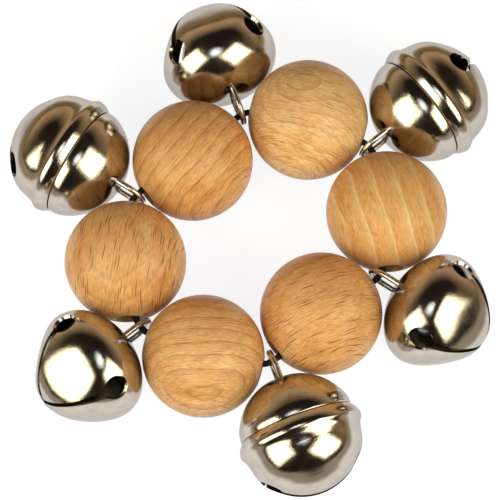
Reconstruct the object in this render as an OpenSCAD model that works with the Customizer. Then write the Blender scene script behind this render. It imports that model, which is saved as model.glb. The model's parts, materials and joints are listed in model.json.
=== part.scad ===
// Ring rattle: wooden beads and jingle bells in turn on a closed elastic cord.
// Millimetres, +Z up. The origin lies on the floor under the middle of the ring.
// Beads and bells are numbered clockwise seen from above. Bell k sits between bead k-1 and bead k.
// Odd bells are crimped from a cap and a slotted bowl, even bells are one shell with four petals.

/* [Beads] */
// Diameter of a wooden bead
bead_d = 25; // [22:0.5:30]
// Bore through a bead
bead_bore = 5; // [4.6:0.1:5.4]
// Chamfer at each mouth of the bore
bore_chamfer = 0.4; // [0.2:0.1:0.8]
// Gap between neighbouring beads
bead_gap = 0.6; // [0.5:0.1:1]

/* [Ring] */
// Half of the ring's short diagonal over the bead pitch, 1 for a regular hexagon
ring_squeeze = 0.82; // [0.8:0.01:0.9]
// Direction of the first bead from +X in degrees
ring_turn = 129; // [0:1:359]

/* [Cord] */
// Thickness of the elastic cord
cord_d = 1.3; // [1:0.1:1.4]
// Thickness of the knot hidden in a bead's bore
knot_d = 3; // [2:0.1:3.2]

/* [Crimped bells] */
// How much less across the slotted bowl is than a bead
ball_less = 0.7; // [0.5:0.1:3]
// How far the middle of the bowl lies outside the middle of the cap
ball_shift = 0.5; // [0:0.1:0.8]
// How far the collar stands proud of the bowl
collar_proud = 0.85; // [0.7:0.05:1.2]
// How far the collar stands proud of the cap
cap_step = 0.6; // [0.4:0.1:0.7]
// Width of the collar with its slope
collar_w = 3.6; // [3:0.1:4.2]
// Width of the collar's flat part beside the seam
collar_flat = 1.4; // [1:0.1:2]
// How far the seam lies behind the middle of the cap
seam_back = 2.1; // [1.5:0.1:2.5]
// Width of the long slot
slot_w = 2.3; // [1:0.1:3]
// Diameter of the hole at each end of the slot
keyhole_d = 5.2; // [4:0.1:6]
// Angle of those holes from the bowl's pole
keyhole_angle = 48; // [42:1:54]

/* [Petal bells] */
// How much less across a petal bell is than a bead
petal_less = 0.6; // [0:0.1:3]
// Height of the flattened dome that carries the eye
dome_h = 9.2; // [8.6:0.1:10]
// Radius of the dome's shoulder
shoulder_r = 7.5; // [7:0.1:8]
// Width of the slots where they cross at the pole
petal_slot = 1; // [0.6:0.1:1.4]
// Angle by which each slot widens on its way to a hole
petal_spread = 8; // [4:0.5:10]
// Diameter of the hole between two petals
petal_hole = 5.8; // [4:0.1:6.6]
// Angle of those holes from the pole where the slots cross
petal_hole_angle = 86; // [80:1:90]

/* [Sheet and wire] */
// Thickness of the sheet metal
wall = 0.6; // [0.5:0.05:0.8]
// Thickness of the wire eyes
wire_d = 1.2; // [1:0.05:1.25]
// Half of the distance between the legs of an eye
eye_half = 3.6; // [3.4:0.1:4]
// Thickness of the peened foot on each leg, inside the bell
foot_d = 2; // [1.6:0.1:2.3]

/* [Pellets] */
// Diameter of the steel pellet inside a bell
pellet_d = 7.5; // [7:0.1:9]

/* [Fits] */
// Gap between a crimped bell and its two beads
bell_clear = 0.55; // [0.4:0.05:0.8]
// Gap between a petal bell and its two beads
dome_clear = 0.35; // [0.3:0.05:0.8]
// Gap between an eye and its two beads
eye_clear = 0.32; // [0.28:0.02:0.36]
// Gap between the cap and the collar of a crimped bell
seam = 0.12; // [0.1:0.01:0.3]
// Play of a wire leg in its hole and of the neck in the cap
fit_play = 0.06; // [0.05:0.01:0.1]
// Space between a pellet and the wall around it
pellet_play = 0.3; // [0.2:0.05:0.6]

/* [Pose of the bells] */
// Turn of the slot about the axis of bell 1
turn_1 = -68; // [-90:1:90]
// Turn of the slot about the axis of bell 3
turn_3 = -4; // [-90:1:90]
// Turn of the slot about the axis of bell 5
turn_5 = 90; // [-90:1:90]
// Turn of the slots about the axis of the petal bells
turn_even = 45; // [0:1:90]
// Rise of the axis of bell 2 towards its outer end
rise_2 = -4; // [-4:0.5:4]
// Rise of the axis of bell 4 towards its outer end
rise_4 = -4; // [-4:0.5:4]
// Rise of the axis of bell 6 towards its outer end
rise_6 = 4; // [-4:0.5:4]
// Lean of the petal shell of bell 2 on its eye
lean_2 = -3; // [-8:0.5:8]
// Lean of the petal shell of bell 4 on its eye
lean_4 = 0; // [-8:0.5:8]
// Lean of the petal shell of bell 6 on its eye
lean_6 = 4; // [-8:0.5:8]

/* [Hidden] */
$fn = 64;
bead_count = 6;
half_turn = 180;
quarter_turn = 90;
bead_r = bead_d / 2;
bore_r = bead_bore / 2;
pitch = bead_d + bead_gap;
ball_d = bead_d - ball_less;
ball_r = ball_d / 2;
collar_r = ball_r + collar_proud;
cap_r = collar_r - cap_step;
petal_d = bead_d - petal_less;
petal_r = petal_d / 2;
ring_z = max(bead_r, collar_r, petal_r);

// ring corners: a hexagon with equal sides, pressed in at corners 1 and 4
short_half = pitch * ring_squeeze;
wide_half = sqrt(pow(pitch, 2) - pow(short_half - pitch / 2, 2));
corners = [
  [short_half, 0],
  [pitch / 2, -wide_half],
  [-pitch / 2, -wide_half],
  [-short_half, 0],
  [-pitch / 2, wide_half],
  [pitch / 2, wide_half]
];

// cord: straight in each bore, straight across each gap, a round kink between
bore_margin = 0.25;
cord_slack = bore_r - cord_d / 2 - bore_margin;
mouth_margin = 0.2;
mouth_reach = bead_r + mouth_margin;
kink_swell = 1.2;
kink_d = cord_d * kink_swell;
kink_trim = cord_d * (kink_swell - 1);

// petal bell dome: a shallow cap that runs into a round shoulder
shoulder_at = petal_r - shoulder_r;
dome_r = (pow(shoulder_r, 2) - pow(shoulder_at, 2) - pow(dome_h, 2)) / (2 * (shoulder_r - dome_h));
dome_drop = dome_r - dome_h;

// places of the bells and eyes, measured outward from the middle of a side of the ring
bell_out = sqrt(pow(bead_r + cap_r + bell_clear, 2) - pow(pitch / 2, 2));
petal_out = sqrt(pow(bead_r + dome_r + dome_clear, 2) - pow(pitch / 2, 2)) - dome_drop;
eye_least = 3;
eye_end = sqrt(max(pow(bead_r + wire_d / 2 + eye_clear, 2) - pow(pitch / 2, 2), pow(eye_least, 2)));
eye_bow = eye_end + eye_half;

// inside of the bells
neck_l = 1.5;
neck_t = 0.5;
neck_r = sqrt(pow(cap_r - wall, 2) - pow(seam_back + neck_l, 2)) - fit_play;
ball_path = neck_r - neck_t - pellet_play - pellet_d / 2;
petal_path = petal_r - wall - pellet_play - pellet_d / 2;
foot_gap = 0.8;
cap_foot = sqrt(pow(cap_r - wall - foot_gap - foot_d / 2, 2) - pow(eye_half, 2));
dome_foot = sqrt(pow(dome_r - wall - foot_gap - foot_d / 2, 2) - pow(eye_half, 2)) - dome_drop;
slope_part = 0.9;
collar_slope = collar_proud * slope_part;
overlap = 1;

wood = [0.80, 0.58, 0.30];
nickel = [0.82, 0.80, 0.76];
steel = [0.60, 0.60, 0.61];
elastic = [0.12, 0.11, 0.11];

function turned(p, a) = [p.x * cos(a) - p.y * sin(a), p.x * sin(a) + p.y * cos(a)];
function unit(v) = v / norm(v);
function left_of(v) = [-v.y, v.x];
function heading(v) = atan2(v.y, v.x);

// centre of bead k, and the way its bore runs
function bead_at(k) = turned(corners[(k + bead_count - 1) % bead_count], ring_turn);
function bore_way(k) = unit(bead_at(k + 1) - bead_at(k - 1));

// the cord lies to the outside of the bore in the pressed-in beads and to the inside elsewhere
function cord_shift(k) = (k % (bead_count / 2) == 1) ? cord_slack : -cord_slack;
function mouth(k, way) =
  bead_at(k) + left_of(bore_way(k)) * cord_shift(k) + bore_way(k) * way * mouth_reach;

// the knot lies against the same side of the bore as the cord
knot_at = bead_at(2) - left_of(bore_way(2)) * (bore_r - knot_d / 2 - bore_margin);

// middle of the side that bell k sits on, and the way out from it
function side_mid(k) = (bead_at(k - 1) + bead_at(k)) / 2;
function side_out(k) = left_of(unit(bead_at(k) - bead_at(k - 1)));

function is_odd(k) = k % 2 == 1;
function reach_of(k) = is_odd(k) ? bell_out : petal_out;
function rise_of(k) = (k == 2) ? rise_2 : (k == 4) ? rise_4 : (k == 6) ? rise_6 : 0;
function lean_of(k) = (k == 2) ? lean_2 : (k == 4) ? lean_4 : (k == 6) ? lean_6 : 0;
function turn_of(k) = (k == 1) ? turn_1 : (k == 3) ? turn_3 : (k == 5) ? turn_5 : turn_even;

// a bell's own frame: +X outward along its axis, the eye on the -X side
module at_bell(k) {
  place = side_mid(k) + side_out(k) * reach_of(k);
  translate([place.x, place.y, ring_z])
    rotate([0, -rise_of(k), heading(side_out(k))])
      children();
}

// turns a shape made about +Z so that it lies about +X
module about_x() {
  rotate([0, quarter_turn, 0]) children();
}

module half_disc(r) {
  intersection() {
    circle(r);
    translate([0, -2 * r]) square([2 * r, 4 * r]);
  }
}

// straight run of cord from a to b, cut short inside the kinks at its ends
module run(a, b) {
  from = a + unit(b - a) * kink_trim;
  translate([from.x, from.y, ring_z])
    rotate([0, quarter_turn, heading(b - a)])
      cylinder(d = cord_d, h = norm(b - a) - 2 * kink_trim);
}

// round lump of cord in or at bead k
module lump(k, at, d) {
  translate([at.x, at.y, ring_z])
    rotate([0, 0, heading(left_of(bore_way(k)))])
      sphere(d = d);
}

module cord() {
  color(elastic) {
    for (k = [1 : bead_count]) {
      run(mouth(k, -1), mouth(k, 1), $fn = 32);
      run(mouth(k, 1), mouth(k + 1, -1), $fn = 32);
      lump(k, mouth(k, -1), kink_d, $fn = 32);
      lump(k, mouth(k, 1), kink_d, $fn = 32);
    }
    lump(2, knot_at, knot_d, $fn = 32);
  }
}

module bead(k) {
  mouth_at = sqrt(pow(bead_r, 2) - pow(bore_r, 2)) - bore_chamfer;
  past = bead_r + overlap;
  flare = bore_r + past - mouth_at;
  place = bead_at(k);
  color(wood) translate([place.x, place.y, ring_z])
    rotate([0, quarter_turn, heading(bore_way(k))])
      rotate_extrude()
        difference() {
          half_disc(bead_r);
          polygon([
            [-overlap, -past], [flare, -past], [bore_r, -mouth_at],
            [bore_r, mouth_at], [flare, past], [-overlap, past]
          ]);
        }
}

// legs of an eye, from the bow to the feet
module legs(d, from, to) {
  for (side = [-1, 1])
    translate([-from, 0, side * eye_half])
      about_x() cylinder(d = d, h = from - to, $fn = 32);
}

module eye_solid(bow, foot) {
  translate([-bow, 0, 0])
    rotate([quarter_turn, -quarter_turn, 0])
      rotate_extrude(angle = half_turn)
        translate([eye_half, 0]) circle(d = wire_d, $fn = 32);
  legs(wire_d, bow, foot);
  for (side = [-1, 1])
    translate([-foot, 0, side * eye_half]) sphere(d = foot_d, $fn = 32);
}

module eye(k) {
  foot = is_odd(k) ? cap_foot : dome_foot;
  color(nickel) at_bell(k) eye_solid(reach_of(k) - eye_bow, foot);
}

module leg_holes(k) {
  foot = is_odd(k) ? cap_foot : dome_foot;
  legs(wire_d + 2 * fit_play, reach_of(k) - eye_bow, foot);
}

module cap(k) {
  color(nickel) at_bell(k)
    difference() {
      about_x() rotate_extrude() intersection() {
        difference() {
          half_disc(cap_r);
          circle(cap_r - wall);
        }
        translate([0, -cap_r - seam_back - seam / 2]) square([2 * cap_r, cap_r]);
      }
      leg_holes(k);
    }
}

// bowl, collar and the neck that the cap is pressed over, as one turned profile
module bowl_profile() {
  rim = seam / 2 - seam_back;
  front = collar_w - seam_back;
  difference() {
    union() {
      intersection() {
        translate([0, ball_shift]) half_disc(ball_r);
        translate([0, rim]) square([2 * ball_r, 2 * ball_r]);
      }
      polygon([
        [neck_r - neck_t, -seam_back - neck_l], [neck_r, -seam_back - neck_l], [neck_r, rim],
        [collar_r, rim], [collar_r, rim + collar_flat],
        [collar_r - collar_slope, front], [neck_r - neck_t, front]
      ]);
    }
    difference() {
      translate([0, ball_shift]) circle(ball_r - wall);
      translate([neck_r - neck_t, -ball_r]) square([ball_r, ball_r + rim + wall]);
    }
  }
}

module keyholes() {
  for (way = [-1, 1])
    rotate([0, quarter_turn - way * keyhole_angle, 0])
      translate([0, 0, ball_r - keyhole_d / 2]) cylinder(d = keyhole_d, h = keyhole_d);
}

module long_slot() {
  edge = [cos(keyhole_angle), sin(keyhole_angle)] * ball_d;
  rotate([quarter_turn, 0, 0])
    linear_extrude(slot_w, center = true)
      polygon([[0, 0], [edge.x, -edge.y], [ball_d, 0], [edge.x, edge.y]]);
}

module bowl(k) {
  color(nickel) at_bell(k)
    difference() {
      about_x() rotate_extrude() bowl_profile();
      rotate([turn_of(k), 0, 0]) {
        long_slot();
        keyholes();
      }
    }
}

// half section of a petal shell, dome towards +Y, all faces moved in by inset
module petal_section(inset) {
  tip = [shoulder_at, dome_drop] * (dome_r / norm([shoulder_at, dome_drop]));
  intersection() {
    half_disc(petal_r - inset);
    translate([0, -petal_d]) square(petal_d);
  }
  intersection() {
    union() {
      translate([shoulder_at, 0]) circle(shoulder_r - inset);
      intersection() {
        translate([0, -dome_drop]) circle(dome_r - inset);
        translate([0, -dome_drop]) polygon([[0, 0], 2 * tip, [0, 2 * dome_r]]);
      }
    }
    square([petal_d, petal_d]);
  }
}

module petal_slots() {
  hole_x = petal_r * cos(petal_hole_angle);
  for (turn = [0, quarter_turn])
    rotate([turn, 0, 0]) {
      translate([hole_x, -petal_slot / 2, -petal_d]) cube([petal_d, petal_slot, 2 * petal_d]);
      for (way = [0, half_turn])
        rotate([way, 0, 0])
          translate([hole_x, 0, 0]) about_x() linear_extrude(petal_d)
            polygon([
              [0, 0],
              [-petal_d, petal_d * tan(petal_spread / 2)],
              [-petal_d, -petal_d * tan(petal_spread / 2)]
            ]);
      for (way = [-1, 1])
        rotate([0, quarter_turn - way * petal_hole_angle, 0])
          translate([0, 0, petal_r - petal_hole / 2]) cylinder(d = petal_hole, h = petal_hole);
    }
}

module petals(k) {
  color(nickel) at_bell(k)
    difference() {
      rotate([0, -lean_of(k), 0])
        difference() {
          rotate([0, -quarter_turn, 0]) rotate_extrude() difference() {
            petal_section(0);
            petal_section(wall);
          }
          rotate([turn_of(k), 0, 0]) petal_slots();
        }
      leg_holes(k);
    }
}

module pellet(k) {
  path = is_odd(k) ? ball_path : petal_path;
  color(steel) at_bell(k) translate([0, 0, -path]) sphere(d = pellet_d);
}

cord();  // elastic_cord
bead(1);  // bead_1
bead(2);  // bead_2
bead(3);  // bead_3
bead(4);  // bead_4
bead(5);  // bead_5
bead(6);  // bead_6
cap(1);  // cap_1
bowl(1);  // bowl_1
eye(1);  // eye_1
pellet(1);  // pellet_1
petals(2);  // petals_2
eye(2);  // eye_2
pellet(2);  // pellet_2
cap(3);  // cap_3
bowl(3);  // bowl_3
eye(3);  // eye_3
pellet(3);  // pellet_3
petals(4);  // petals_4
eye(4);  // eye_4
pellet(4);  // pellet_4
cap(5);  // cap_5
bowl(5);  // bowl_5
eye(5);  // eye_5
pellet(5);  // pellet_5
petals(6);  // petals_6
eye(6);  // eye_6
pellet(6);  // pellet_6
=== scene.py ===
import json
import math

import bpy
from mathutils import Matrix, Vector


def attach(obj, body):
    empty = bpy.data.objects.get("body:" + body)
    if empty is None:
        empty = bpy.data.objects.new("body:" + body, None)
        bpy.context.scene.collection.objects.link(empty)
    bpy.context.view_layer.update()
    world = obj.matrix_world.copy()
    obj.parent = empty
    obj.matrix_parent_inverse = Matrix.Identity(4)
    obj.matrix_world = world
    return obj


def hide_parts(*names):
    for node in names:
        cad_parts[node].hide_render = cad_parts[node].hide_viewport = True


# Ring rattle: beech beads and nickel-plated jingle bells in turn on an elastic cord.
# Pieces are shaped in millimetres about their own centre, then set in the part's frame in metres.

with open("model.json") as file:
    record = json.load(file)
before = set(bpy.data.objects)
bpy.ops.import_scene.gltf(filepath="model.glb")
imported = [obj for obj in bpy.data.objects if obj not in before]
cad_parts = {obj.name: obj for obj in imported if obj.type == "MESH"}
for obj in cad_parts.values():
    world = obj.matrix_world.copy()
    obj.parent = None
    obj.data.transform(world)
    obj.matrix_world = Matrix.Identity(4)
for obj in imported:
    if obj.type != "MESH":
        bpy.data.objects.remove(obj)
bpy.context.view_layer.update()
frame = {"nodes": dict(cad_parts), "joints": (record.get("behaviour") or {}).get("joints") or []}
joints = {j["name"]: j for j in frame["joints"]}

MM = 0.001

# Beads and cord, mm
BEAD_R = 12.5
BORE_R = 2.5
END_R = 3.1  # the ends of the ball are cut off inside this radius
RIM_R = 3.4  # and what is left of them begins inside this one
MOUTH = ((2.9, 12.16), (2.72, 12.13), (2.56, 11.97), (BORE_R, 11.75))  # radius and height, from rim to bore
CORD_R = 0.65
CORD_SHIFT = 1.6  # from the middle of the bore to the side that the cord lies against
CORD_OUTER = (1, 4)  # beads in which that is the outer side of the ring, not the inner one
CORD_BEND = 1.1  # length taken off each side of a corner
BEND_STEPS = 6
MOUTH_REACH = 12.7  # corners of the cord, from the middle of the bead

# All shells, mm
SHEET = 0.6
GRID_CUTS = 63  # across each face of the cube that a shell starts from
TURN_STEPS = 192
DRILL_SIDES = 72
MERGE = 0.001
SLIVER = 0.004
SKIN = 0.9  # least cosine between a face of the skin and the form's own normal

# Crimped bells, mm and degrees: a slotted bowl with a collar, and a plain cap with a lip
BALL_R = 12.1
BALL_SHIFT = 0.5
SHOULDER_FULL = 0.32
SHOULDER_FRONT, SHOULDER_PEAK, SHOULDER_BACK = 38, 58, 86  # from the bell's axis
BOWL_EDGE = 2.2
CAP_R = 12.4
CAP_EDGE = -2.45
SEAM_BACK = 2.1
ROLL_W = 2.7
ROLL_IN = 0.45
SLOT_W = 2.3
KEYHOLE_R = 2.6
KEYHOLE_ANGLE = math.radians(48)
KEYHOLE_DRILL = (BALL_R - 3, BALL_R + 4)
SLOT_TURN = {1: -68, 3: -4, 5: 90}
# outlines as x along the axis and radius
COLLAR = (
    (-2.04, 11.18), (-2.04, 11.85), (-2.02, 11.93), (-1.9, 12.03), (-1.6, 12.255), (-1.3, 12.46),
    (-1.0, 12.635), (-0.7, 12.78), (-0.4, 12.89), (-0.1, 12.96), (0.15, 12.995), (0.35, 13.0),
    (0.55, 12.98), (0.75, 12.92), (0.95, 12.82), (1.2, 12.65), (1.45, 12.49), (1.7, 12.36), (2.0, 12.24),
    (2.3, 12.14), (2.7, 12.035), (3.2, 11.915), (3.9, 11.76), (3.9, 11.4), (-1.4, 11.3), (-1.4, 10.68),
    (-3.6, 10.68), (-3.6, 11.18),
)
LIP = (
    (-2.5, 11.815), (-2.36, 11.8), (-2.24, 11.76), (-2.18, 11.69), (-2.16, 11.6), (-2.16, 11.3),
    (-2.5, 11.25),
)

# Petal bells, mm and degrees: round petals, a rounded shoulder and a low dome
PETAL_R = 12.2
SHOULDER_R = 7.5
DOME_R = 14.847
DOME_DROP = 5.647
DOME_SLOPE = 0.607  # the dome begins where a direction leans back this much
PETAL_SLOT = 1.0
PETAL_SPREAD = math.radians(8)
PETAL_HOLE_R = 2.75
PETAL_HOLE_ANGLE = math.radians(86)
PETAL_HOLE_DRILL = (PETAL_R - 3, PETAL_R + 3)
PETAL_HOLE_FLARE = 0.6
PETAL_MID = (math.cos(math.radians(50)), math.sin(math.radians(50)) * math.sqrt(0.5))
PETAL_FIELD = math.radians(44)
PETAL_FLAT = 0.105
PETAL_TURN = math.radians(45)
LEAN = {2: -3, 4: 0, 6: 4}

# Wire eyes, mm: distance of the bow's middle and of the feet's middle behind the bell's centre
WIRE_R = 0.6
EYE_HALF = 3.6
BOW_STEPS = 32
BALL_EYE = (14.365, 9.33)
PETAL_EYE = (11.283, 6.267)
# a peened foot: distance from its middle towards the bow, and radius
FOOT = ((-0.98, 0.25), (-0.85, 0.6), (-0.5, 0.87), (0.0, 0.98), (0.5, 0.87), (0.76, 0.68), (0.9, WIRE_R))


# Scene

def linear(code):
    """sRGB hex to linear RGBA."""
    parts = [int(code[i:i + 2], 16) / 255 for i in (1, 3, 5)]
    return tuple(c / 12.92 if c <= 0.04045 else ((c + 0.055) / 1.055) ** 2.4 for c in parts) + (1.0,)


def only(obj):
    """Selects obj alone and makes it active."""
    bpy.ops.object.select_all(action="DESELECT")
    obj.select_set(True)
    bpy.context.view_layer.objects.active = obj


def new(primitive, name, **settings):
    """Adds a primitive on its own selection and names it."""
    bpy.ops.object.select_all(action="DESELECT")
    primitive(**settings)
    obj = bpy.context.active_object
    obj.name = name
    return obj


def aim(obj, place, target):
    """Puts a lamp or the camera at a place and turns it to a target."""
    obj.location = place
    obj.rotation_euler = (Vector(target) - Vector(place)).to_track_quat("-Z", "Y").to_euler()


scene = bpy.context.scene
scene.view_settings.view_transform = "Standard"

CAMERA_PLACE = (-0.00131, -0.13229, 0.49596)
CAMERA_TARGET = (-0.00131, -0.00288, 0.013)
camera_data = bpy.data.cameras.new("camera")
camera = bpy.data.objects.new("camera", camera_data)
scene.collection.objects.link(camera)
camera_data.sensor_width = 36
camera_data.lens = 175
camera_data.clip_start = 0.01
aim(camera, CAMERA_PLACE, CAMERA_TARGET)
scene.camera = camera


# Nodes

def fill(tree, node, inputs):
    """Sets or links inputs of a node."""
    for key, value in inputs.items():
        if isinstance(value, bpy.types.NodeSocket):
            tree.links.new(value, node.inputs[key])
        else:
            node.inputs[key].default_value = value
    return node


def add(tree, kind, inputs=None, **settings):
    """Adds a node with its settings and inputs."""
    made = tree.nodes.new(kind)
    for key, value in settings.items():
        setattr(made, key, value)
    return fill(tree, made, inputs or {})


def noise(tree, place, scale, detail, out="Fac", **inputs):
    """Noise between 0 and 1."""
    inputs.update({"Vector": place, "Scale": scale, "Detail": detail})
    return add(tree, "ShaderNodeTexNoise", inputs).outputs[out]


def span(tree, value, low, high, to_low=0.0, to_high=1.0):
    """A number brought from low..high to to_low..to_high and held at both ends."""
    inputs = {"Value": value, "From Min": low, "From Max": high, "To Min": to_low, "To Max": to_high}
    return add(tree, "ShaderNodeMapRange", inputs).outputs["Result"]


def calc(tree, operation, *sources):
    """One step of arithmetic on numbers."""
    return add(tree, "ShaderNodeMath", dict(enumerate(sources)), operation=operation).outputs["Value"]


def calc_vector(tree, operation, *sources):
    """One step of arithmetic on vectors. A length or a distance comes out as a number."""
    made = add(tree, "ShaderNodeVectorMath", dict(enumerate(sources)), operation=operation)
    return made.outputs["Value" if operation in ("LENGTH", "DISTANCE") else "Vector"]


def scaled(tree, source, factor):
    """A vector or a colour times a number."""
    inputs = {0: source, "Scale": factor}
    return add(tree, "ShaderNodeVectorMath", inputs, operation="SCALE").outputs["Vector"]


def stretched(tree, place, scale, shift=(0.0, 0.0, 0.0)):
    """A place scaled along each axis, then shifted."""
    inputs = {"Vector": place, "Location": shift, "Scale": scale}
    return add(tree, "ShaderNodeMapping", inputs).outputs["Vector"]


def mix(tree, factor, first, second):
    """A colour from first at 0 to second at 1."""
    inputs = {"Factor": factor, "A": first, "B": second}
    return add(tree, "ShaderNodeMix", inputs, data_type="RGBA").outputs["Result"]


def bump(tree, height, strength, depth, under=None, invert=False):
    """Relief of a depth in mm, over another relief if one is given."""
    inputs = {"Height": height, "Strength": strength, "Distance": depth * MM}
    if under is not None:
        inputs["Normal"] = under
    return add(tree, "ShaderNodeBump", inputs, invert=invert).outputs["Normal"]


def ramp(tree, source, *stops):
    """Colour ramp through (position, colour) stops."""
    made = add(tree, "ShaderNodeValToRGB", {"Fac": source})
    while len(made.color_ramp.elements) < len(stops):
        made.color_ramp.elements.new(0.5)
    for element, (position, colour) in zip(made.color_ramp.elements, stops):
        element.position = position
        element.color = colour
    return made.outputs["Color"]


def grey(value):
    return (value, value, value, 1.0)


def material(name):
    """A node material with its tree, its Principled shader and the place in object space, in metres."""
    made = bpy.data.materials.new(name)
    made.use_nodes = True
    tree = made.node_tree
    return made, tree, tree.nodes["Principled BSDF"], add(tree, "ShaderNodeTexCoord").outputs["Object"]


def polished_nickel():
    """Bright nickel plate on pressed sheet: a warm mirror, faintly dented by the press, with tiny pits."""
    made, tree, skin, place = material("polished nickel plate")
    # dents about 7 mm across, clouds about 2.4 mm, pits about 0.35 mm
    dents = noise(tree, place, 140.0, 1.0)
    clouds = noise(tree, place, 420.0, 3.0)
    pits = noise(tree, place, 2800.0, 2.0)
    fill(tree, skin, {
        "Base Color": ramp(tree, clouds, (0.3, linear("#BDB4AA")), (0.7, linear("#CAC2B8"))),
        "Roughness": span(tree, clouds, 0.3, 0.75, 0.11, 0.17),
        "Normal": bump(tree, dents, 0.25, 0.6, bump(tree, pits, 0.16, 0.1)),
        "Metallic": 1.0,
        # nickel stays greyer than most metals where it is seen at a low angle
        "Specular Tint": (0.7, 0.68, 0.67, 1.0),
    })
    return made


def drawn_wire():
    """Nickel-plated steel wire: bright, a little rough from drawing, with dull spots about 1 mm across."""
    made, tree, skin, place = material("nickel-plated steel wire")
    marks = noise(tree, place, 900.0, 3.0)
    fill(tree, skin, {
        "Base Color": ramp(tree, marks, (0.3, linear("#C8C6C3")), (0.7, linear("#ECEAE7"))),
        "Roughness": span(tree, marks, 0.0, 1.0, 0.2, 0.36),
        "Normal": bump(tree, marks, 0.12, 0.1),
        "Metallic": 1.0,
    })
    return made


def tumbled_steel():
    """Plain steel shot: grey, tumbled satin, with dark specks about 0.7 mm across."""
    made, tree, skin, place = material("tumbled steel shot")
    specks = noise(tree, place, 1500.0, 4.0)
    fill(tree, skin, {
        "Base Color": ramp(tree, specks, (0.3, linear("#6F6E6C")), (0.65, linear("#9B9A98"))),
        "Roughness": span(tree, specks, 0.0, 1.0, 0.25, 0.45),
        "Metallic": 1.0,
    })
    return made


def woven_elastic():
    """Dark round elastic: a matt woven sleeve over rubber, threads about 0.3 mm apart."""
    made, tree, skin, place = material("woven elastic sleeve")
    threads = add(tree, "ShaderNodeTexVoronoi", {"Vector": place, "Scale": 3200.0}).outputs["Distance"]
    fill(tree, skin, {
        "Base Color": ramp(tree, threads, (0.0, linear("#4B4A50")), (0.7, linear("#17161A"))),
        "Normal": bump(tree, threads, 0.5, 0.1, invert=True),
        "Roughness": 0.75,
        "Specular IOR Level": 0.3,
    })
    return made


def beech(name, centre, turn, heart, spacing, flecks, bands, line, tones):
    """Turned, oiled beech: gold with soft growth rings about a heart line, short dark ray flecks along
    the grain, fine fibres, and a satin skin. turn sets the grain (own X), and heart is the middle of the
    rings in own Y and Z, mm."""
    made, tree, skin, place = material(name)
    inputs = {"Vector": place, "Location": centre, "Rotation": turn, "Scale": (MM, MM, MM)}
    grain = add(tree, "ShaderNodeMapping", inputs, vector_type="TEXTURE").outputs["Vector"]
    # slow drift of the grain, so that rings and flecks aren't ruled lines
    drift = calc_vector(tree, "SUBTRACT", noise(tree, grain, 0.13, 2.0, "Color"), (0.5, 0.5, 0.5))
    wood = calc_vector(tree, "ADD", grain, scaled(tree, drift, 1.6))
    # growth rings: distance from the heart line, stronger in some patches than in others
    ring_place = stretched(tree, wood, (0.03, 1.0, 1.0), (0.0, -heart[0], -heart[1]))
    radius = calc_vector(tree, "LENGTH", ring_place)
    ring = calc(tree, "FRACT", calc(tree, "DIVIDE", radius, spacing))
    ring_shade = ramp(tree, ring, (0.0, grey(0.0)), (0.5, grey(0.14)), (0.8, grey(0.4)),
                      (0.9, grey(1.0)), (0.95, grey(0.7)), (1.0, grey(0.0)))
    strength = span(tree, noise(tree, wood, 0.35, 1.0), 0.3, 0.7, 0.5 * bands, bands)
    late = calc(tree, "MULTIPLY", ring_shade, strength)
    # ray flecks: thin ribbons about 4 mm long and 0.2 mm wide, that stand on edge towards the bark
    fleck_place = stretched(tree, wood, (0.15, 2.8, 0.1))
    inputs = {"Vector": fleck_place, "Scale": 1.0, "Randomness": 1.0}
    cells = add(tree, "ShaderNodeTexVoronoi", inputs).outputs
    spindle = ramp(tree, cells["Distance"], (0.0, grey(1.0)), (0.2, grey(0.85)), (0.32, grey(0.0)))
    pick = add(tree, "ShaderNodeSeparateXYZ", {"Vector": cells["Color"]}).outputs["X"]
    dark = calc(tree, "MULTIPLY", spindle, span(tree, pick, 0.0, 0.5, 0.0, flecks))
    # fibres: streaks about 0.15 mm wide and 1.5 mm long over slow clouds of tone
    fibre = noise(tree, stretched(tree, wood, (0.7, 6.5, 0.8)), 1.0, 2.0, Roughness=0.6)
    cloud = noise(tree, stretched(tree, wood, (0.1, 0.3, 0.3)), 1.0, 2.0)
    base = ramp(tree, cloud, (0.32, linear(tones[0])), (0.66, linear(tones[1])))
    body = scaled(tree, base, span(tree, fibre, 0.3, 0.7, 0.71, 1.22))
    ringed = mix(tree, late, body, linear(line))
    pores = bump(tree, spindle, 0.25, 0.06, invert=True)
    fill(tree, skin, {
        "Base Color": mix(tree, dark, ringed, linear("#7A4116")),
        "Roughness": span(tree, fibre, 0.0, 1.0, 0.34, 0.5),
        "Normal": bump(tree, fibre, 0.22, 0.06, pores),
        "IOR": 1.42,
    })
    return made


# Room: a pale floor, two square softboxes, a small round lamp and a dim room behind them

LAMP_TARGET = (0, 0, 0.012)
LAMP_EDGE = (0.22, 0.2, 0.19)
WARM = (1.0, 0.94, 0.66)
COOL = (0.84, 0.94, 1.0)


def softbox(name, place, size, watts, colour, shape="SQUARE", full=0.7):
    """A lamp behind cloth: even in the middle, dimmer and warmer from a share of its half width outward."""
    made = new(bpy.ops.object.light_add, name, type="AREA")
    made.data.shape = shape
    made.data.size = size
    made.data.energy = watts
    made.data.use_nodes = True
    tree = made.data.node_tree
    across = add(tree, "ShaderNodeNewGeometry").outputs["Parametric"]
    out = calc_vector(tree, "SUBTRACT", across, (0.5, 0.5, 0.0))
    if shape == "SQUARE":
        sides = calc_vector(tree, "ABSOLUTE", out)
        parts = add(tree, "ShaderNodeSeparateXYZ", {"Vector": sides}).outputs
        far = calc(tree, "MAXIMUM", parts["X"], parts["Y"])
    else:
        far = calc_vector(tree, "LENGTH", out)
    edge = tuple(c * share for c, share in zip(colour, LAMP_EDGE))
    glow = ramp(tree, span(tree, far, full / 2, 0.5), (0.0, colour + (1.0,)), (1.0, edge + (1.0,)))
    fill(tree, tree.nodes["Emission"], {"Color": glow})
    aim(made, place, LAMP_TARGET)


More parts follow.
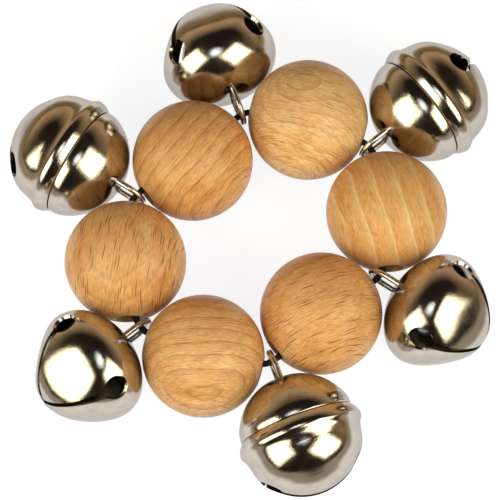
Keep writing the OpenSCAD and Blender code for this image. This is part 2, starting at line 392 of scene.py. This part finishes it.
softbox("softbox left", (-0.36, -0.235, 0.29), 0.48, 2.8, WARM)
softbox("softbox right", (0.36, -0.215, 0.32), 0.48, 2.8, WARM)
softbox("small window", (0.0, -0.045, 0.2), 0.1, 0.075, COOL, "DISK", 0.1)

# dark overhead and in front, with a warm wall low at the back
world = bpy.data.worlds.new("dim room")
scene.world = world
world.use_nodes = True
room = world.node_tree
way = add(room, "ShaderNodeTexCoord").outputs["Generated"]
sky = add(room, "ShaderNodeSeparateXYZ", {"Vector": way}).outputs
back = span(room, sky["Y"], -0.3, 0.6)
low = span(room, sky["Z"], 0.2, 0.64, 1.0, 0.0)
wall = calc(room, "MULTIPLY", back, low)
hue = mix(room, wall, linear("#28221C"), linear("#C8A87E"))
fill(room, room.nodes["Background"], {"Color": hue})

# the paper is whole to 86 mm from its middle and gone at 112 mm, and the table is greyer in front and
# warmer behind
PAPER_MIDDLE = (0.0, -0.002, 0.0)
PAPER_WHOLE = 0.086
PAPER_GONE = 0.112
PAPER_TONE = (0.31, 0.325, 0.425, 1.0)  # under the glow that makes it look white
PAPER_GLOW = 0.85
floor = new(bpy.ops.mesh.primitive_plane_add, "floor", size=12)
paper, tree, skin, place = material("white paper on a pale table")
sheet = span(tree, calc_vector(tree, "DISTANCE", place, PAPER_MIDDLE), PAPER_WHOLE, PAPER_GONE, 1.0, 0.0)
depth = add(tree, "ShaderNodeSeparateXYZ", {"Vector": place}).outputs["Y"]
table = mix(tree, span(tree, depth, -0.06, 0.16), linear("#AAA6AC"), linear("#BFA684"))
ray = add(tree, "ShaderNodeLightPath").outputs
seen = calc(tree, "MAXIMUM", ray["Is Camera Ray"], ray["Is Glossy Ray"])
seen = calc(tree, "MAXIMUM", seen, ray["Is Transmission Ray"])
fill(tree, skin, {
    "Base Color": mix(tree, sheet, table, PAPER_TONE),
    "Roughness": 0.9,
    "Specular IOR Level": 0.0,
    "Emission Color": grey(1.0),
    "Emission Strength": calc(tree, "MULTIPLY", seen, calc(tree, "MULTIPLY", sheet, PAPER_GLOW)),
})
floor.data.materials.append(paper)


# Shaping

def edit(obj, picked=None):
    """Goes into edit mode on obj with the vertices that picked accepts, or all, selected."""
    only(obj)
    bpy.ops.object.mode_set(mode="EDIT")
    bpy.ops.mesh.select_mode(type="VERT")
    bpy.ops.mesh.select_all(action="SELECT" if picked is None else "DESELECT")
    if picked is not None:
        bpy.ops.object.mode_set(mode="OBJECT")
        for vertex in obj.data.vertices:
            vertex.select = bool(picked(vertex.co))
        bpy.ops.object.mode_set(mode="EDIT")


def done():
    bpy.ops.object.mode_set(mode="OBJECT")


def close():
    """Turns all normals of the mesh in edit mode outward, and leaves edit mode."""
    bpy.ops.mesh.select_all(action="SELECT")
    bpy.ops.mesh.normals_make_consistent(inside=False)
    done()


def smooth(obj, degrees):
    """Shades obj smooth, with sharp edges where faces meet at more than so many degrees."""
    only(obj)
    bpy.ops.object.shade_smooth_by_angle(angle=math.radians(degrees))


def apply(obj, kind, **settings):
    """Adds a modifier and applies it."""
    only(obj)
    made = obj.modifiers.new(kind.lower(), kind)
    for key, value in settings.items():
        setattr(made, key, value)
    bpy.ops.object.modifier_apply(modifier=made.name)


def cut(obj, cutter):
    """Takes a closed cutter out of obj."""
    apply(obj, "BOOLEAN", operation="DIFFERENCE", solver="EXACT", object=cutter)
    bpy.data.objects.remove(cutter)


def clean(obj):
    """Merges the slivers that cutting leaves, and takes out points that have only two edges."""
    edit(obj)
    bpy.ops.mesh.remove_doubles(threshold=SLIVER)
    bpy.ops.mesh.dissolve_degenerate(threshold=SLIVER / 2)
    bpy.ops.mesh.select_all(action="DESELECT")
    done()
    uses = [0] * len(obj.data.vertices)
    for side in obj.data.edges:
        for i in side.vertices:
            uses[i] += 1
    for vertex in obj.data.vertices:
        vertex.select = uses[vertex.index] == 2
    bpy.ops.object.mode_set(mode="EDIT")
    bpy.ops.mesh.dissolve_verts()
    close()


def prism(name, outline, near, far):
    """A closed prism over an outline of (y, z) points, from x = near to x = far."""
    made = new(bpy.ops.mesh.primitive_circle_add, name, vertices=len(outline), fill_type="NGON")
    for vertex, (y, z) in zip(made.data.vertices, outline):
        vertex.co = (near, y, z)
    edit(made)
    bpy.ops.mesh.extrude_region_move(TRANSFORM_OT_translate={"value": (far - near, 0, 0)})
    close()
    return made


def drill(name, radius, way, near, far, flare=0.0):
    """A drill along a direction from the centre, from near to far, of a radius half way, flared outward."""
    way = Vector(way).normalized()
    grow = flare * (far - near) / 2
    made = new(bpy.ops.mesh.primitive_cone_add, name, vertices=DRILL_SIDES,
               radius1=radius - grow, radius2=radius + grow, depth=far - near)
    turn = way.to_track_quat("Z", "Y").to_matrix().to_4x4()
    made.data.transform(Matrix.Translation(way * (near + far) / 2) @ turn)
    return made


def round_blank(name, reach):
    """A cube cut into a fine grid and blown up until each point lies at reach(direction) from the centre."""
    made = new(bpy.ops.mesh.primitive_cube_add, name, size=2)
    edit(made)
    bpy.ops.mesh.subdivide(number_cuts=GRID_CUTS)
    done()
    for vertex in made.data.vertices:
        # equal angles between grid lines
        way = Vector([math.tan(c * math.pi / 4) for c in vertex.co]).normalized()
        vertex.co = way * reach(way)
    return made


def sheen(obj, reach):
    """Shades the outer and inner faces of a shell with the true normals of its form."""
    smooth(obj, 30)

    def level(p):
        return p.length / reach(p.normalized())

    step = 0.01
    sides = [Vector((step, 0, 0)), Vector((0, step, 0)), Vector((0, 0, step))]
    mesh = obj.data
    slopes = {}
    normals = [(0.0, 0.0, 0.0)] * len(mesh.loops)
    for face in mesh.polygons:
        for i in face.loop_indices:
            v = mesh.loops[i].vertex_index
            if v not in slopes:
                p = mesh.vertices[v].co
                slopes[v] = Vector([level(p + s) - level(p - s) for s in sides]).normalized()
            side = face.normal.dot(slopes[v])
            if abs(side) > SKIN:
                normals[i] = tuple(slopes[v] * math.copysign(1.0, side))
    mesh.normals_split_custom_set(normals)


def turned(name, outline):
    """A closed ring turned about X from an outline of (x, radius) points."""
    made = new(bpy.ops.mesh.primitive_circle_add, name, vertices=len(outline), fill_type="NOTHING")
    for vertex, (x, r) in zip(made.data.vertices, outline):
        vertex.co = (x, 0, r)
    edit(made)
    bpy.ops.mesh.spin(steps=TURN_STEPS, angle=math.tau, center=(0, 0, 0), axis=(1, 0, 0))
    bpy.ops.mesh.select_all(action="SELECT")
    bpy.ops.mesh.remove_doubles(threshold=MERGE)
    close()
    return made


def join(main, other):
    only(main)
    other.select_set(True)
    bpy.ops.object.join()
    return main


def copy_of(obj, name):
    made = obj.copy()
    made.data = obj.data.copy()
    made.name = name
    scene.collection.objects.link(made)
    return made


def settle(obj, place, body, node, finish):
    """Puts a piece in the part's frame, in metres, on its body and in place of its CAD node."""
    only(obj)
    obj.matrix_world = place @ Matrix.Scale(MM, 4)
    bpy.ops.object.transform_apply(location=True, rotation=True, scale=True)
    obj.data.materials.clear()
    obj.data.materials.append(finish)
    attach(obj, body)
    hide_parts(node)


def frame_of(k):
    """Bell k's own frame: +X outward along its axis, +Y level."""
    joint = joints["pellet_%d_roll" % k]
    out = Vector(joint["axis"]).normalized()
    side = Vector((0, 0, 1)).cross(out).normalized()
    turn = Matrix((out, side, out.cross(side))).transposed().to_4x4()
    return Matrix.Translation(joint["pos_m"]) @ turn


# Beads

def bead_blank():
    """A ball with a bore along Z: the ends of a sphere are opened, rounded inward and bridged."""
    made = new(bpy.ops.mesh.primitive_uv_sphere_add, "bead", segments=96, ring_count=60, radius=BEAD_R)
    edit(made, lambda p: math.hypot(p.x, p.y) < END_R)
    bpy.ops.mesh.delete(type="VERT")
    for way in (-1, 1):
        done()
        edit(made, lambda p: math.hypot(p.x, p.y) < RIM_R and p.z * way > 0)
        for radius, height in MOUTH:
            bpy.ops.mesh.extrude_edges_move()
            done()
            for vertex in made.data.vertices:
                if vertex.select:
                    flat = Vector((vertex.co.x, vertex.co.y)).normalized() * radius
                    vertex.co = (flat.x, flat.y, way * height)
            bpy.ops.object.mode_set(mode="EDIT")
    done()
    edit(made, lambda p: math.hypot(p.x, p.y) < BORE_R + 0.01)
    bpy.ops.mesh.bridge_edge_loops()
    close()
    smooth(made, 50)
    return made


# Grain of each bead: turn of the grain in degrees, middle of the rings and their spacing in mm, strength of
# flecks and of rings, colour of the ring lines, and the deep and the light tone of the wood
LATE = "#A05E28"
DEEP = "#DA9C62"
GRAIN = {
    1: ((0, -6, 50), (-27, 4), 2.8, 0.45, 0.7, LATE, (DEEP, "#EBB77E")),
    2: ((0, 34, -18), (4, 8), 2.4, 0.55, 0.45, LATE, ("#E9B47D", "#F5CC98")),
    3: ((0, 0, -72), (-60, 5), 4.2, 0.4, 0.75, "#F4D8AC", (DEEP, "#E2AA6C")),
    4: ((0, 0, 20), (2, 30), 3.0, 0.9, 0.2, LATE, (DEEP, "#E8B37A")),
    5: ((0, 0, 2), (-12.5, 11.5), 2.6, 0.4, 0.65, LATE, ("#DFA368", "#EFC08A")),
    6: ((0, 0, 80), (3, 26), 4.0, 0.95, 0.3, LATE, (DEEP, "#E8B780")),
}
ball = bead_blank()
for k, (turn, *looks) in GRAIN.items():
    joint = joints["bead_%d_spin" % k]
    centre = Vector(joint["pos_m"])
    bore = Vector(joint["axis"])
    place = Matrix.Translation(centre) @ bore.to_track_quat("Z", "Y").to_matrix().to_4x4()
    wood = beech("beech bead %d" % k, tuple(centre), tuple(math.radians(a) for a in turn), *looks)
    name = "bead_%d" % k
    settle(copy_of(ball, name + "_turned"), place, name, name, wood)
bpy.data.objects.remove(ball)


# Bells

def held(value, low=0.0, high=1.0):
    return max(low, min(high, value))


def petal_reach(way):
    """Distance from a petal bell's centre to its skin: petals that are flatter between slots, a low dome."""
    out = way.x
    flat = math.hypot(way.y, way.z)
    if out >= 0:
        reach = PETAL_R
    elif -out < DOME_SLOPE * flat:
        ring = (PETAL_R - SHOULDER_R) * flat
        reach = ring + math.sqrt(ring ** 2 + SHOULDER_R ** 2 - (PETAL_R - SHOULDER_R) ** 2)
    else:
        drop = -DOME_DROP * out
        reach = -drop + math.sqrt(drop ** 2 + DOME_R ** 2 - DOME_DROP ** 2)
    # a petal is flattest in its middle, and its edges at the slots stay high
    near = math.acos(held(out * PETAL_MID[0] + (abs(way.y) + abs(way.z)) * PETAL_MID[1], -1.0))
    bulge = max(0.0, 1 - (near / PETAL_FIELD) ** 2) ** 2
    return reach * (1 - PETAL_FLAT * bulge)


def ball_reach(way):
    """Distance from a crimped bell's centre to its bowl: a ball set outward a little, with a full shoulder."""
    reach = BALL_SHIFT * way.x + math.sqrt(BALL_R ** 2 - BALL_SHIFT ** 2 * (1 - way.x ** 2))
    polar = math.degrees(math.acos(held(way.x, -1.0)))
    from_back = held((SHOULDER_BACK - polar) / (SHOULDER_BACK - SHOULDER_PEAK))
    from_front = held((polar - SHOULDER_FRONT) / (SHOULDER_PEAK - SHOULDER_FRONT))
    rise = from_back * from_front
    return reach + SHOULDER_FULL * rise * rise * (3 - 2 * rise)


def cap_reach(way):
    """Distance from a crimped bell's centre to its cap: a ball whose edge rolls in towards the seam."""
    roll = held(1 - (-CAP_R * way.x - SEAM_BACK) / ROLL_W)
    return CAP_R - ROLL_IN * roll ** 2


def petal_blank():
    """One sheet folded to a ball: two slots that cross at the outer pole and widen to four round holes."""
    made = round_blank("petals", petal_reach)
    apply(made, "SOLIDIFY", thickness=SHEET, offset=-1)
    spread = math.tan(PETAL_SPREAD / 2)
    half = PETAL_SLOT / 2
    waist = half / spread
    near = PETAL_R * math.cos(PETAL_HOLE_ANGLE)
    far = 2 * PETAL_R
    bow_tie = [
        (-far, -far * spread), (-waist, -half), (waist, -half), (far, -far * spread),
        (far, far * spread), (waist, half), (-waist, half), (-far, far * spread),
    ]
    cut(made, prism("slot", bow_tie, near, far))
    cut(made, prism("slot", [(-z, y) for y, z in bow_tie], near, far))
    side = math.sin(PETAL_HOLE_ANGLE)
    for y, z in ((1, 0), (-1, 0), (0, 1), (0, -1)):
        way = (math.cos(PETAL_HOLE_ANGLE), side * y, side * z)
        cut(made, drill("hole", PETAL_HOLE_R, way, *PETAL_HOLE_DRILL, PETAL_HOLE_FLARE))
    clean(made)
    sheen(made, petal_reach)
    made.data.transform(Matrix.Rotation(PETAL_TURN, 4, "X"))
    return made


def half_shell(name, reach, keep):
    """Half of a round shell of sheet, on the side of x = keep that is away from the centre."""
    made = round_blank(name, reach)
    edit(made)
    bpy.ops.mesh.bisect(plane_co=(keep, 0, 0), plane_no=(1, 0, 0), clear_inner=keep > 0, clear_outer=keep < 0)
    done()
    apply(made, "SOLIDIFY", thickness=SHEET, offset=-1)
    return made


def bowl_blank():
    """Slotted half of a crimped bell: a long slot between two round holes, and a collar round the rim."""
    made = half_shell("bowl", ball_reach, BOWL_EDGE)
    far = 2 * BALL_R
    along = math.cos(KEYHOLE_ANGLE)
    across = math.sin(KEYHOLE_ANGLE)
    outline = [(0, 0), (across * far, along * far), (0, far), (-across * far, along * far)]
    wedge = prism("slot", outline, -SLOT_W / 2, SLOT_W / 2)
    # the prism's own X is the slot's width: turn it to lie along Y
    wedge.data.transform(Matrix(((0, 0, 1, 0), (1, 0, 0, 0), (0, 1, 0, 0), (0, 0, 0, 1))))
    cut(made, wedge)
    for way in (-1, 1):
        cut(made, drill("hole", KEYHOLE_R, (along, 0, way * across), *KEYHOLE_DRILL))
    clean(made)
    sheen(made, ball_reach)
    collar = turned("collar", COLLAR)
    smooth(collar, 45)
    return join(made, collar)


def cap_blank():
    """Plain half of a crimped bell, with a small round lip at its rim."""
    made = half_shell("cap", cap_reach, CAP_EDGE)
    sheen(made, cap_reach)
    lip = turned("lip", LIP)
    smooth(lip, 60)
    return join(made, lip)


def sweep(name, path, radii, normal, sides, closed=False):
    """A round bar along a flat path, with a radius at each of its points."""
    made = new(bpy.ops.mesh.primitive_circle_add, name, vertices=sides, radius=1.0, fill_type="NOTHING")
    normal = Vector(normal)
    frames = []
    for i, here in enumerate(path):
        ahead = path[(i + 1) % len(path)] if closed or i + 1 < len(path) else here
        behind = path[i - 1] if closed or i else here
        frames.append((here, (ahead - behind).normalized().cross(normal)))
    edit(made)
    last = (Vector((0, 0, 0)), Vector((1, 0, 0)), Vector((0, 1, 0)))
    for (here, side), radius in zip(frames, radii):
        if here is not frames[0][0]:
            bpy.ops.mesh.extrude_edges_move()
        done()
        for vertex in made.data.vertices:
            if vertex.select:
                spoke = (vertex.co - last[0]).normalized()
                vertex.co = here + (side * spoke.dot(last[1]) + normal * spoke.dot(last[2])) * radius
        bpy.ops.object.mode_set(mode="EDIT")
        last = (here, side, normal)
    if closed:
        done()
        rims = (frames[0][0], frames[-1][0])
        edit(made, lambda p: min((p - rim).length for rim in rims) < radii[0] * 1.01)
        bpy.ops.mesh.bridge_edge_loops()
    else:
        bpy.ops.mesh.select_all(action="SELECT")
        bpy.ops.mesh.fill_holes(sides=0)
    close()
    smooth(made, 50)
    return made


def eye_blank(name, bow, foot):
    """A wire bent to an eye, upright in the bell's own frame: foot, leg, bow, leg and foot."""
    leg = [(Vector((-foot - along, 0, EYE_HALF)), radius) for along, radius in FOOT]
    bend = []
    for step in range(BOW_STEPS + 1):
        angle = math.pi * step / BOW_STEPS
        bend.append((Vector((-bow - EYE_HALF * math.sin(angle), 0, EYE_HALF * math.cos(angle))), WIRE_R))
    back = [(Vector((p.x, 0, -p.z)), radius) for p, radius in reversed(leg)]
    way = leg + bend + back
    return sweep(name, [p for p, _ in way], [r for _, r in way], (0, 1, 0), sides=24)


nickel = polished_nickel()
wire = drawn_wire()
steel = tumbled_steel()
bowl = bowl_blank()
cap = cap_blank()
ball_eye = eye_blank("ball eye", *BALL_EYE)
petals = petal_blank()
petal_eye = eye_blank("petal eye", *PETAL_EYE)
for k in range(1, 7):
    body = "bell_%d" % k
    place = frame_of(k)
    if k % 2:
        turn = Matrix.Rotation(math.radians(SLOT_TURN[k]), 4, "X")
        settle(copy_of(bowl, "bowl_%d_pressed" % k), place @ turn, body, "bowl_%d" % k, nickel)
        settle(copy_of(cap, "cap_%d_pressed" % k), place, body, "cap_%d" % k, nickel)
        settle(copy_of(ball_eye, "eye_%d_bent" % k), place, body, "eye_%d" % k, wire)
    else:
        lean = Matrix.Rotation(math.radians(-LEAN[k]), 4, "Y")
        settle(copy_of(petals, "petals_%d_folded" % k), place @ lean, body, "petals_%d" % k, nickel)
        settle(copy_of(petal_eye, "eye_%d_bent" % k), place, body, "eye_%d" % k, wire)
    shot = frame["nodes"]["pellet_%d" % k]
    shot.data.materials.clear()
    shot.data.materials.append(steel)
for blank in (bowl, cap, ball_eye, petals, petal_eye):
    bpy.data.objects.remove(blank)


# Cord

def cord_route():
    """Corners of the cord's closed way: in and out of each bore, along the side that it lies against."""
    corners = []
    for k in range(1, 7):
        joint = joints["bead_%d_spin" % k]
        bore = Vector(joint["axis"]).normalized()
        out = Vector((-bore.y, bore.x, 0)) * (CORD_SHIFT if k in CORD_OUTER else -CORD_SHIFT)
        for way in (-1, 1):
            corners.append(Vector(joint["pos_m"]) / MM + out + bore * way * MOUTH_REACH)
    return corners


def rounded(corners, trim):
    """Points of the closed way with each corner rounded off."""
    points = []
    for i, here in enumerate(corners):
        before = here + (corners[i - 1] - here).normalized() * trim
        after = here + (corners[(i + 1) % len(corners)] - here).normalized() * trim
        for step in range(BEND_STEPS + 1):
            t = step / BEND_STEPS
            points.append(before * (1 - t) ** 2 + here * 2 * t * (1 - t) + after * t ** 2)
    return points


path = rounded(cord_route(), CORD_BEND)
cord = sweep("elastic_woven", path, [CORD_R] * len(path), (0, 0, 1), sides=20, closed=True)
settle(cord, Matrix(), "cord", "elastic_cord", woven_elastic())
